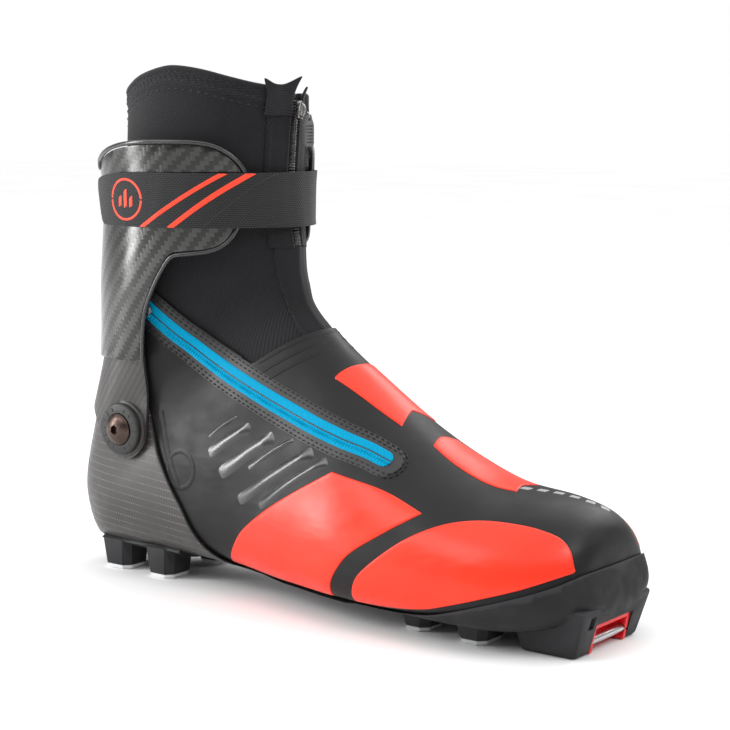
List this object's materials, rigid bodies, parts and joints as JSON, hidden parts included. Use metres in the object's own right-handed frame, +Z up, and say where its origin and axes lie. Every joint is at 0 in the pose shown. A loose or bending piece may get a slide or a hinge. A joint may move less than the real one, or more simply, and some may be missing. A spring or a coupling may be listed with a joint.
{
  "type": "cross country skate ski boot",
  "caption": "Right cross country skate boot with hinged carbon cuff, strap, zipped upper and gaiter, lugged sole and toe binding bar.",
  "frame": {"origin": "middle of the boot's bounding box, at ground level under the lug tips", "axes": "+X from heel to toe, +Y to the medial side, +Z up"},
  "size_m": [0.3078, 0.103, 0.254],
  "materials": {
    "rubber": "matte moulded black rubber",
    "tip": "hard light grey lug tips",
    "pocket_red": "gloss red",
    "steel": "brushed steel",
    "carbon": "clear coated woven carbon",
    "carbon_matte": "satin woven carbon",
    "shell_black": "coated synthetic upper, satin black",
    "panel_red": "satin red orange film",
    "gaiter_knit": "black stretch knit",
    "foam": "textile faced foam",
    "footbed": "footbed fabric",
    "board": "fibre board",
    "zip_blue": "coated bright blue zip tape",
    "zip_black": "black coil",
    "zip_metal": "dark nickel",
    "puller": "ribbed grey rubber",
    "webbing": "woven dark grey",
    "fastener": "hook and loop",
    "lace": "braided cord",
    "dial": "dark moulded washer",
    "bolt": "copper grey bolt",
    "nylon": "natural nylon"
  },
  "bodies": {
    "boot": {"forefoot_outsole": "rubber", "bar_pocket_insert": "pocket_red", "binding_bar": "steel", "heel_outsole": "rubber", "carbon_chassis": "carbon_matte", "lasting_board": "board", "insole": "footbed", "upper_shell": "shell_black", "lace_cover": "shell_black", "front_panel_lateral": "panel_red", "front_panel_medial": "panel_red", "quarter_panel_lateral": "panel_red", "quarter_panel_medial": "panel_red", "lace_panel": "panel_red", "toe_panel": "panel_red", "side_zip_tape": "zip_blue", "side_zip_coil": "zip_black", "tongue": "foam", "lace_facing_lateral": "webbing", "lace_facing_medial": "webbing", "speed_lace": "lace", "lace_lock": "zip_black", "heel_liner": "foam", "gaiter_ankle": "gaiter_knit", "front_strip": "gaiter_knit", "forefoot_lug_tip_1": "tip", "heel_lug_tip_1": "tip", "forefoot_lug_tip_2": "tip", "heel_lug_tip_2": "tip", "forefoot_lug_tip_3": "tip", "heel_lug_tip_3": "tip", "forefoot_lug_tip_4": "tip", "heel_lug_tip_4": "tip", "pivot_dial_lateral": "dial", "pivot_bolt_lateral": "bolt", "pivot_nut_lateral": "steel", "pivot_dial_medial": "dial", "pivot_bolt_medial": "bolt", "pivot_nut_medial": "steel"},
    "cuff": {"carbon_cuff": "carbon", "carbon_yoke": "carbon_matte", "cuff_pad": "foam", "cuff_liner": "foam", "gaiter_collar": "gaiter_knit", "collar_rim": "gaiter_knit", "front_zip_tape_lateral": "gaiter_knit", "front_zip_tape_medial": "gaiter_knit", "front_zip_coil": "zip_black", "zip_end_flap_lateral": "gaiter_knit", "zip_end_flap_medial": "gaiter_knit", "cuff_strap": "webbing", "strap_hook_pad": "fastener", "strap_rivet_1": "zip_metal", "strap_rivet_2": "zip_metal", "pivot_bush_lateral": "nylon", "pivot_bush_medial": "nylon"},
    "front_slider": {"front_zip_slider": "zip_metal"},
    "front_puller": {"front_zip_puller": "puller"},
    "strap_end": {"strap_tab": "webbing"},
    "side_slider": {"side_zip_slider": "zip_metal"}
  },
  "joints": [
    {"name": "cuff_hinge", "type": "hinge", "parent": "boot", "child": "cuff", "pos_m": [-0.10526, 0, 0.077], "axis": [0, 1, 0], "range_deg": [-5, 13], "deforming": ["gaiter_ankle", "front_strip"]},
    {"name": "front_zip_slide", "type": "slide", "parent": "cuff", "child": "front_slider", "axis": [0, 0, 1], "range_m": [-0.017, 0]},
    {"name": "front_puller_hinge", "type": "hinge", "parent": "front_slider", "child": "front_puller", "pos_m": [-0.01966, 0, 0.2305], "axis": [0, 1, 0], "range_deg": [-100, 0]},
    {"name": "strap_peel", "type": "hinge", "parent": "cuff", "child": "strap_end", "pos_m": [-0.07726, -0.04942, 0.191], "axis": [0, 0, 1], "range_deg": [0, 60]},
    {"name": "side_zip_slide", "type": "slide", "parent": "boot", "child": "side_slider", "axis": [0.762, 0.1917, -0.6186], "range_m": [0, 0.0105]}
  ]
}
